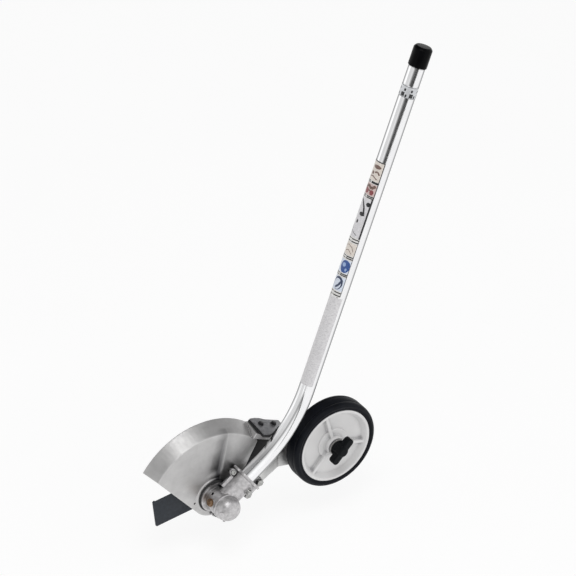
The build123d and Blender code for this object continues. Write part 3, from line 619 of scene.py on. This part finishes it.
cap_bm = bmesh.new()
cap_profile = rounded(
    [(12.6, CAP_LOW), (14.3, CAP_LOW), (14.3, 626.6), (11.4, CAP_TOP), (0, CAP_TOP), (0, 627.4),
     (12.6, 627.4)], {0: 0.4, 1: 0.6, 2: 1.2, 3: 1.0, 6: 0.3})
lathe(cap_bm, UPPER, cap_profile[-1:] + cap_profile[:-1], 96, cap_ripple)
piece("tube_end_cap_vinyl", to_mesh("cap", cap_bm), "cap", "black_vinyl", ("tube_end_cap",))

# Printed film: outlines as (angle in degrees, height in mm) wrapped onto the tube
INK = {name: print_film("ink_" + name, colour) for name, colour in (
    ("black", (0.014, 0.014, 0.016)),
    ("brown", (0.17, 0.105, 0.085)),
    ("red", (0.24, 0.055, 0.06)),
    ("beige", (0.71, 0.65, 0.59)),
    ("pink", (0.60, 0.47, 0.45)),
    ("pale", (0.66, 0.72, 0.82)),
    ("navy", (0.030, 0.045, 0.10)),
    ("blue", (0.030, 0.085, 0.29)),
    ("sky", (0.30, 0.42, 0.66)),
    ("grey", (0.66, 0.65, 0.67)))}
# The film is cut into strips, in degrees, so that it bends; the odd start keeps the cuts off
# the outlines' corners
STRIP = 4
STRIP_START = 0.013


def wrapped(name, outlines, radius, thick, slot_name, material):
    """Flat outlines bent round the upper leg as one thin solid film each."""
    bm = bmesh.new()
    for outline in outlines:
        bm.faces.new([bm.verts.new((a, h, 0)) for a, h in outline])
    for a in range(-180, 361, STRIP):
        geometry = bm.verts[:] + bm.edges[:] + bm.faces[:]
        bmesh.ops.bisect_plane(bm, geom=geometry, plane_co=(a + STRIP_START, 0, 0),
                               plane_no=(1, 0, 0))
    bmesh.ops.recalc_face_normals(bm, faces=bm.faces)
    for face in bm.faces:
        if face.normal.z < 0:
            face.normal_flip()
    grown = bmesh.ops.extrude_face_region(bm, geom=bm.faces[:])
    for item in grown["geom"]:
        if isinstance(item, bmesh.types.BMVert):
            item.co.z = thick
    for vertex in bm.verts:
        a = math.radians(vertex.co.x)
        r = radius + vertex.co.z
        vertex.co = UPPER @ Vector((r * math.cos(a), r * math.sin(a), vertex.co.y))
    return piece(name, to_mesh(name, bm), "frame", slot_name, (), material, smooth=30)


def bar(a0, a1, h0, h1):
    """Outline of an upright rectangle."""
    return [(a0, h0), (a1, h0), (a1, h1), (a0, h1)]


def disc(a, h, half_arc, half_height):
    """Outline of a disc, its half width in degrees."""
    count = 40
    return [(a + half_arc * math.cos(2 * math.pi * i / count),
             h + half_height * math.sin(2 * math.pi * i / count)) for i in range(count)]


def stroke(points, width):
    """Quads along a broken line; width in mm."""
    degree = math.radians(1) * TUBE_R
    out = []
    for (a0, h0), (a1, h1) in zip(points, points[1:]):
        run = Vector(((a1 - a0) * degree, h1 - h0))
        side = Vector((-run.y, run.x)).normalized() * width / 2
        arc = side.x / degree
        out.append([(a0 + arc, h0 + side.y), (a0 - arc, h0 - side.y),
                    (a1 - arc, h1 - side.y), (a1 + arc, h1 + side.y)])
    return out


def band_sleeve(name, low, high, start, end, inner, outer, slot_name, nodes):
    """Thin film from one angle to another round the upper leg, or all the way."""
    bm = bmesh.new()
    if end - start > 359:
        lathe(bm, UPPER, [(inner, low), (outer - 0.03, low), (outer, low + 0.05),
                          (outer, high - 0.05), (outer - 0.03, high), (inner, high)], 120)
    else:
        columns = []
        for a in np.linspace(math.radians(start), math.radians(end), 48):
            columns.append([bm.verts.new(UPPER @ Vector((r * math.cos(a), r * math.sin(a), h)))
                            for r, h in ((inner, low), (outer, low), (outer, high), (inner, high))])
        for first, second in zip(columns, columns[1:]):
            for i in range(4):
                j = (i + 1) % 4
                bm.faces.new((first[i], first[j], second[j], second[i]))
        bm.faces.new(columns[0])
        bm.faces.new(columns[-1])
    return piece(name, to_mesh(name, bm), "frame", slot_name, nodes, smooth=30)


FILM_R = 12.85
PRINT_THICK = 0.03
band_sleeve("limit_band_film", 551, 569, 0, 360, TUBE_R, FILM_R, "band_film", ("limit_band",))
band_sleeve("icon_label_film", 227, 447, 32, 152, TUBE_R, FILM_R, "icon_film", ("icon_label",))
band_sleeve("info_label_film", 78, 226, 32, 172, TUBE_R, FILM_R, "text_film", ("info_label",))

# Plain pictograms, cell by cell up the icon label; they stand for no real sign
LABEL_START, LABEL_END = 40, 152


def printed(name, layer, ink, outlines, slot_name="icon_film"):
    """Marks in one ink; each layer lies on the one below."""
    wrapped(name, outlines, FILM_R + PRINT_THICK * (layer - 1), PRINT_THICK, slot_name, INK[ink])


def cell(low, high):
    """One coloured field of the label."""
    return bar(LABEL_START, LABEL_END - 2, low, high)


printed("icon_cells_beige", 1, "beige", [cell(416, 445), cell(295, 314)])
printed("icon_cell_pink", 1, "pink", [cell(393, 411)])
printed("icon_cell_grey", 1, "grey", [cell(324, 387)])
printed("icon_cells_pale_blue", 1, "pale", [cell(266, 287), cell(237, 259)])

rules = [bar(32, LABEL_END, 445.4, 447), bar(LABEL_END - 6, LABEL_END, 389, 446),
         bar(LABEL_END - 12, LABEL_END, 323, 389), bar(LABEL_END - 4, LABEL_END, 229, 322)]
for low, high in ((412.0, 415.4), (388.4, 392.4), (316.0, 322.0), (289.0, 293.6), (261.0, 265.0),
                  (228.6, 235.0)):
    rules.append(bar(LABEL_START, 90, high - 1.3, high))
    rules.append(bar(LABEL_START, 90, low, low + 1.3))
    rules.append(bar(98, LABEL_END, high - 1.7, high))
    rules.append(bar(98, LABEL_END, low, low + 1.7))
printed("icon_rules_black", 2, "black", rules)
printed("icon_marks_black", 2, "black",
        stroke([(62, 384), (84, 381), (106, 373), (122, 360)], 2.8)
        + [disc(130, 379, 16, 3.4), disc(106, 362, 20, 3.2), disc(89, 349, 8, 3.0)]
        + stroke([(64, 341), (68, 332), (118, 328)], 1.0))
printed("icon_marks_brown", 2, "brown",
        [disc(104, 438, 30, 3.0), disc(82, 427.5, 12, 2.6)]
        + stroke([(98, 429), (118, 431), (136, 427)], 2.4)
        + stroke([(62, 421), (92, 423), (128, 419.5)], 1.6)
        + stroke([(58, 402), (84, 408), (112, 404), (138, 409)], 4.4)
        + stroke([(70, 397), (100, 401), (132, 396)], 2.4)
        + stroke([(64, 308), (90, 311), (118, 308), (134, 302)], 0.9)
        + stroke([(72, 300), (98, 303), (126, 298)], 0.9))
printed("icon_marks_red", 2, "red", [disc(78, 399, 20, 4.6), disc(122, 398, 14, 4.0)])
printed("icon_disc_blue", 2, "blue", [disc(114, 276.5, 36, 10.0)])
printed("icon_disc_mark", 3, "sky", [disc(104, 279, 13, 3.4), disc(126, 272, 7, 2.4)])
printed("icon_ring_black", 2, "navy", [disc(102, 248.5, 36, 10.6)])
printed("icon_ring_inside", 3, "pale", [disc(99, 247.0, 29, 8.4)])
printed("icon_ring_mark", 4, "navy", stroke([(92, 241), (112, 246), (128, 255)], 3.2))

band_marks = [bar(0, 360, 551.3, 551.9), bar(0, 360, 568.1, 568.7)]
for start in range(10, 360, 48):
    band_marks.append(bar(start, start + 13, 560.8, 564.8))
for start in range(30, 360, 60):
    band_marks.append(bar(start, start + 26, 552.6, 558.8))
    band_marks.append(bar(start + 32, start + 44, 552.6, 556.4))
printed("limit_band_marks", 1, "black", band_marks, "band_film")

# ------------------------------------------------------------ castings
# Two low lips carry the clamp slot down the neck, in a frame that is turned round it
CLAMP = INPUT @ Matrix.Rotation(math.radians(-35.0), 4, "Z")
LIP_OUT = 3.7
LIP_AT = (17.4, 29.0)
LIP_HALF_SIZE = (2.6, 3.0, 11.0)
case_bm = cad_copy("gear_case")
for side in (-1, 1):
    lip = CLAMP @ Matrix.Translation((side * LIP_OUT, *LIP_AT))
    bmesh.ops.create_cube(case_bm, size=2.0, matrix=lip @ Matrix.Diagonal((*LIP_HALF_SIZE, 1.0)))
piece("gear_case_cast", cast("gear_case_cast", case_bm, 0.38, 3), "frame",
      "cast_case", ("gear_case",), smooth=None)

# The guard's crease runs between these two points, (x, z) in mm from the gear centre
VALLEY_LOW = Vector((10.5, 28.0))
VALLEY_HIGH = Vector((25.0, 95.0))
VALLEY = VALLEY_HIGH - VALLEY_LOW


def paint_crease_shade(material):
    """Painted shade in the guard's crease, darkest near the gear case."""
    n = Nodes(material)
    run = VALLEY.normalized()
    start = GEAR + Vector((VALLEY_LOW.x, 0, VALLEY_LOW.y)) * MM

    def measured(direction):
        """Millimetres from the crease's start along a direction."""
        node = n.add("ShaderNodeVectorMath", operation="DOT_PRODUCT")
        node.inputs[1].default_value = direction / MM
        n.link(n.coords, node.inputs[0])
        return n.calc("SUBTRACT", node.outputs["Value"], start.dot(direction) / MM)

    right = measured(Vector((run.y, 0, -run.x)))
    along = measured(Vector((run.x, 0, run.y)))
    near = measured(Vector((0, 1, 0)))
    left_side = n.times(n.spread(right, -20, -5, 0, 1), n.spread(right, -1.6, 0.8, 1, 0.55),
                        n.spread(right, 0.8, 2.4, 1, 0))
    right_side = n.times(n.spread(right, 0.8, 2.4, 0, 1), n.spread(right, 3, 15, 0.50, 0))
    mask = n.times(n.calc("MAXIMUM", left_side, right_side),
                   n.spread(along, 0, VALLEY.length, 1.0, 0.40), n.spread(along, -16, -4, 0, 1),
                   n.spread(near, 30, 34, 1, 0))
    # painted shade: the crease's dark colour laid over the guard's own
    n.overlay(mask, (0.045, 0.045, 0.050))


def dark_spot(material, centre, inner, outer, colour, strength):
    """A soft round darker patch; centre, in millimetres from the gear centre, and its two radii."""
    n = Nodes(material)
    away = n.add("ShaderNodeVectorMath", operation="DISTANCE")
    away.inputs[1].default_value = GEAR + Vector(centre) * MM
    n.link(n.coords, away.inputs[0])
    fade = n.spread(away.outputs["Value"], inner * MM, outer * MM, strength, 0.0, "SMOOTHSTEP")
    n.overlay(fade, colour)


# painted shade along the guard's crease
paint_crease_shade(MATERIALS["cast_guard"])
# painted shadow where the neck meets the flange
dark_spot(MATERIALS["cast_case"], (-6, 14, 26), 3, 14, (0.04, 0.038, 0.036), 0.85)
# two darker patches, one brownish, lower on the flange face
dark_spot(MATERIALS["cast_case"], (-20, 10, 8), 3, 13, (0.16, 0.115, 0.085), 0.70)
dark_spot(MATERIALS["cast_case"], (-15, 10, -9), 3, 12, (0.15, 0.14, 0.13), 0.5)

# A black bead fills the thin gap round the flange: a dark ring that stands for the shade in that gap.
bead_bm = bmesh.new()
lathe(bead_bm, OUTPUT, [(25.05, 20.4), (26.2, 20.5), (27.1, 21.2), (27.1, 22.2), (25.05, 22.2)], 128)
piece("flange_gap_shade_bead", to_mesh("flange_gap_shade_bead", bead_bm), "frame", "soft_rubber")

GUARD_MIDDLE = Vector((-6.0, -5.0))      # the middle of its round outline, (x, z)
GUARD_INNER_Y = 27.5                     # the inner wall behind this stays flat
DIP_AT = -4.0                            # the dip is deepest this side of the crease's line


def crease_depth(at):
    """How far the guard's face moves in at a point: a dip left of the crease, a swell right.

    It fades out at both ends, near the gear case and near the guard's rim.
    """
    if at.y > GUARD_INNER_Y:
        return 0.0
    flat = Vector((at.x, at.z))
    along = (flat - VALLEY_LOW).dot(VALLEY) / VALLEY.length_squared
    right = (flat - VALLEY_LOW).dot(Vector((VALLEY.y, -VALLEY.x)).normalized())
    ends = smoothstep(-0.05, 0.25, along) * (1 - smoothstep(0.75, 1.15, along))
    clear = smoothstep(33.0, 42.0, flat.length)
    rim = 1 - smoothstep(100.0, 110.0, (flat - GUARD_MIDDLE).length)
    spread = 17.0 if right < DIP_AT else 4.0
    deepest = 3.6 - 1.6 * min(1.0, max(0.0, along))
    dip = deepest * math.exp(-((right - DIP_AT) / spread) ** 2)
    swell = -0.8 * smoothstep(DIP_AT, 0.5, right) * (1 - smoothstep(2.0, 36.0, right))
    return (dip + swell) * ends * clear * rim


guard_mesh = cast("guard_cast", cad_copy("guard"), 0.7, 4)
for vertex in guard_mesh.vertices:
    vertex.co.y += crease_depth((vertex.co - GEAR) / MM) * MM
guard_mesh.update()
piece("guard_cast", guard_mesh, "frame", "cast_guard", ("guard",), smooth=None)

piece("wheel_bracket_cast", cast("wheel_bracket_cast", cad_copy("wheel_bracket"), 0.55, 4),
      "frame", "cast_arm", ("wheel_bracket",), smooth=None)

# ------------------------------------------------------------ wheel
WHEEL_NEAR = -2.0        # its two faces along the axle
WHEEL_FAR = 29.0
TYRE_R = 73.0
RIM_R = 61.72
# (radius, distance in from the wheel's face); a fine groove runs beside the rim
TYRE_PROFILE = [
    (RIM_R, 0.9), (RIM_R + 1.0, 0.45), (RIM_R + 2.3, 0.3), (RIM_R + 2.7, 0.8), (RIM_R + 3.1, 0.3),
    (TYRE_R - 6.2, 0.25), (TYRE_R - 5.8, -0.05), (TYRE_R - 5.2, -0.05), (TYRE_R - 4.8, 0.4),
    (TYRE_R - 4.0, 0.55), (TYRE_R - 2.2, 1.4), (TYRE_R - 1.1, 2.5),
    (TYRE_R - 0.4, 4.2), (TYRE_R, 6.6), (TYRE_R, 7.9), (TYRE_R - 0.25, 8.2), (TYRE_R - 1.1, 8.5),
    (TYRE_R - 1.2, 8.8), (TYRE_R - 1.2, 9.2), (TYRE_R - 1.1, 9.5), (TYRE_R - 0.25, 9.8),
    (TYRE_R, 10.1)]
tyre_outline = [(r, WHEEL_NEAR + h) for r, h in TYRE_PROFILE]
tyre_outline += [(r, WHEEL_FAR - h * 0.8) for r, h in reversed(TYRE_PROFILE)]
tyre_outline += [(RIM_R, WHEEL_FAR - 3.0), (RIM_R - 2, WHEEL_FAR - 4.1),
                 (RIM_R - 2, WHEEL_NEAR + 4.1), (RIM_R, WHEEL_NEAR + 3.0)]
tyre_bm = bmesh.new()
lathe(tyre_bm, WHEEL, tyre_outline, 192)
piece("tyre_moulded", to_mesh("tyre", tyre_bm), "wheel", "tyre_rubber", ("tyre",), smooth=40)

hub_bm = cad_copy("wheel_hub")
lathe(hub_bm, WHEEL, [(14.0, 5.8), (25.0, 5.8), (26.0, 6.8), (26.0, 10.5), (14.0, 10.5)], 96)
piece("wheel_hub_moulded", cast("wheel_hub_moulded", hub_bm, 0.6, 4), "wheel", "grey_plastic",
      ("wheel_hub",), smooth=None)

piece("wing_knob_moulded", cast("wing_knob_moulded", cad_copy("wing_knob"), 0.4, 5), "knob",
      "black_plastic", ("wing_knob",), smooth=None)

# ------------------------------------------------------------ plates, blade and fasteners
# (piece, CAD node, body, slot, bevel in mm)
SOFT_PIECES = (
    ("blade_ground", "blade", "blade_train", "dark_blade_steel", 0.3),
    ("flap_retainer_plate", "flap_retainer", "frame", "grey_plate", 0.4),
    ("rubber_flap_sheet", "rubber_flap", "frame", "black_rubber", 0.4),
    ("grease_plug_hex", "grease_plug", "frame", "yellow_zinc", 0.35),
    ("pinch_bolt_cap", "pinch_bolt", "frame", "zinc_steel", 0.3),
    ("pinch_nut_hex", "pinch_nut", "frame", "zinc_steel", 0.3),
    ("locating_screw_hex", "locating_screw", "frame", "zinc_steel", 0.3),
    ("bracket_bolts_hex", "bracket_bolts", "frame", "zinc_steel", 0.35),
    ("flap_screws_hex", "flap_screws", "frame", "black_steel", 0.25),
    ("guard_stop_screw_cap", "guard_stop_screw", "frame", "black_steel", 0.3),
    ("blade_nut_hex", "blade_nut", "blade_train", "zinc_steel", 0.3),
    ("axle_bolt_head", "axle_bolt", "axle", "zinc_steel", 0.3))
for row in SOFT_PIECES:
    soft_piece(*row)

# ------------------------------------------------------------ CAD nodes that stay
SLOTS = {s["node"]: s["material_slot"] for s in frame["record"]["subparts"]}
for node, obj in frame["nodes"].items():
    dress(obj, SLOTS[node])

# ------------------------------------------------------------ stage and light
scene = bpy.context.scene
scene.view_settings.view_transform = "Standard"
scene.view_settings.look = "None"

# The floor lies below everything that moves: the wheel at its lowest and the turning blade
BLADE_SWEEP_R = 98.0
FLOOR_CLEARANCE = 1.0
FLOOR_HALF = 3.0         # metres
WHEEL_DROP = next(j["range_m"][0] for j in frame["record"]["behaviour"]["joints"]
                  if j["name"] == "wheel_height")
LOWEST = min(AXLE_AT.z + WHEEL_DROP - TYRE_R * MM, GEAR.z - BLADE_SWEEP_R * MM)
FLOOR_Z = LOWEST - FLOOR_CLEARANCE * MM
FLOOR_CORNERS = [(x * FLOOR_HALF, y * FLOOR_HALF, FLOOR_Z)
                 for x, y in ((-1, -1), (1, -1), (1, 1), (-1, 1))]
floor_mesh = bpy.data.meshes.new("floor")
floor_mesh.from_pydata(FLOOR_CORNERS, [], [(0, 1, 2, 3)])
floor = bpy.data.objects.new("floor", floor_mesh)
scene.collection.objects.link(floor)
floor_nodes = new_material("floor_white")
floor_tone = floor_nodes.mixed(floor_nodes.noise(3.0), (0.20, 0.20, 0.20), (0.22, 0.22, 0.22))
floor_nodes.link(floor_tone, floor_nodes.shader.inputs["Base Color"])
for socket, value in (("Roughness", 0.9), ("Specular IOR Level", 0.1),
                      ("Emission Color", (1, 1, 1, 1)), ("Emission Strength", 0.84)):
    floor_nodes.shader.inputs[socket].default_value = value
floor.data.materials.append(floor_nodes.material)


GAP_DARKNESS = 0.93
STRIP_DARKNESS = 0.5
FAR_DARKNESS = 0.6
LINE_LIGHT = 0.45
GLOW_LIGHT = 0.35


def build_world():
    """Pale studio all round, with a dark gap low on one side that polished metal mirrors."""
    world = bpy.data.worlds.new("studio")
    scene.world = world
    world.use_nodes = True
    n = Tree(world.node_tree)
    for node in list(n.tree.nodes):
        n.tree.nodes.remove(node)

    def ramp(value, low, high, to_low=0.0, to_high=1.0):
        """Soft step between two angles."""
        return n.spread(value, low, high, to_low, to_high, "SMOOTHSTEP")

    def along(axis):
        """The view direction's share along a level axis."""
        return n.calc("ADD", n.times(split.outputs[0], axis.x), n.times(split.outputs[1], axis.y))

    def degrees(value):
        """An angle in degrees."""
        return n.times(value, 180 / math.pi)

    def left_of(value):
        """What is left of 1 when the value is taken away."""
        return n.calc("SUBTRACT", 1.0, value)

    split = n.add("ShaderNodeSeparateXYZ")
    n.link(n.add("ShaderNodeTexCoord").outputs["Generated"], split.inputs[0])
    # degrees round the horizon: 0 on the camera's side of the object, positive to the right
    ahead = along(Vector((VIEW_BACK.x, VIEW_BACK.y, 0)).normalized())
    round_angle = degrees(n.calc("ARCTAN2", along(VIEW_RIGHT), ahead))
    height = degrees(n.calc("ARCSINE", split.outputs[2]))
    low = ramp(height, -4, 7, 1.0, 0.0)
    # the dark gap, with a weaker strip above its left end
    gap = n.times(ramp(round_angle, -34, -20), ramp(round_angle, 24, 31, 1, 0), low,
                  ramp(height, -60, -30))
    weak = n.times(ramp(round_angle, -40, -30), ramp(round_angle, -18, -8, 1, 0), left_of(low),
                   STRIP_DARKNESS)
    gap = n.calc("ADD", gap, n.times(weak, ramp(height, 60, 75, 1, 0)))
    # dimmer on the far side, a glow low on the left, and a bright line just left of the gap
    behind = n.times(ramp(n.calc("ABSOLUTE", round_angle), 102, 120), ramp(height, 55, 75, 1, 0),
                     ramp(height, 6, 20))
    glow = n.times(ramp(round_angle, -80, -94), ramp(height, 4, 16, 1, 0))
    line = n.times(ramp(round_angle, -52, -46), ramp(round_angle, -42, -37, 1, 0), low)
    side = n.calc("ADD", ramp(round_angle, -34, 31, 0.74, 1.10), n.times(line, LINE_LIGHT))
    light = n.times(left_of(n.times(gap, GAP_DARKNESS)), side, ramp(height, 24, 58, 1.0, 0.42),
                    left_of(n.times(behind, FAR_DARKNESS)))
    light = n.calc("ADD", light, n.times(glow, GLOW_LIGHT))
    studio = n.add("ShaderNodeBackground")
    n.link(light, studio.inputs["Strength"])
    studio.inputs["Color"].default_value = (1, 1, 1, 1)
    plain = n.add("ShaderNodeBackground")
    plain.inputs["Color"].default_value = (0.985, 0.985, 0.985, 1)
    # the camera sees a plain backdrop instead of the studio
    mix = n.add("ShaderNodeMixShader")
    n.link(n.add("ShaderNodeLightPath").outputs["Is Camera Ray"], mix.inputs[0])
    n.link(studio.outputs[0], mix.inputs[1])
    n.link(plain.outputs[0], mix.inputs[2])
    n.link(mix.outputs[0], n.add("ShaderNodeOutputWorld").inputs["Surface"])


build_world()


def softbox(name, direction, distance, size, power):
    """Square soft light that looks at the middle of the object; metres and watts."""
    light = bpy.data.lights.new(name, "AREA")
    light.shape = "SQUARE"
    light.size = size
    light.energy = power
    obj = bpy.data.objects.new(name, light)
    middle = (CAD_BOX[0] + CAD_BOX[1]) / 2
    direction = Vector(direction).normalized()
    obj.matrix_world = (Matrix.Translation(middle + direction * distance)
                        @ direction.to_track_quat("Z", "Y").to_matrix().to_4x4())
    scene.collection.objects.link(obj)


softbox("key_light", (-0.35, -0.50, 1.30), 2.2, 1.1, 13.0)
softbox("fill_light", (-0.72, 0.70, 0.20), 2.6, 1.0, 0.3)
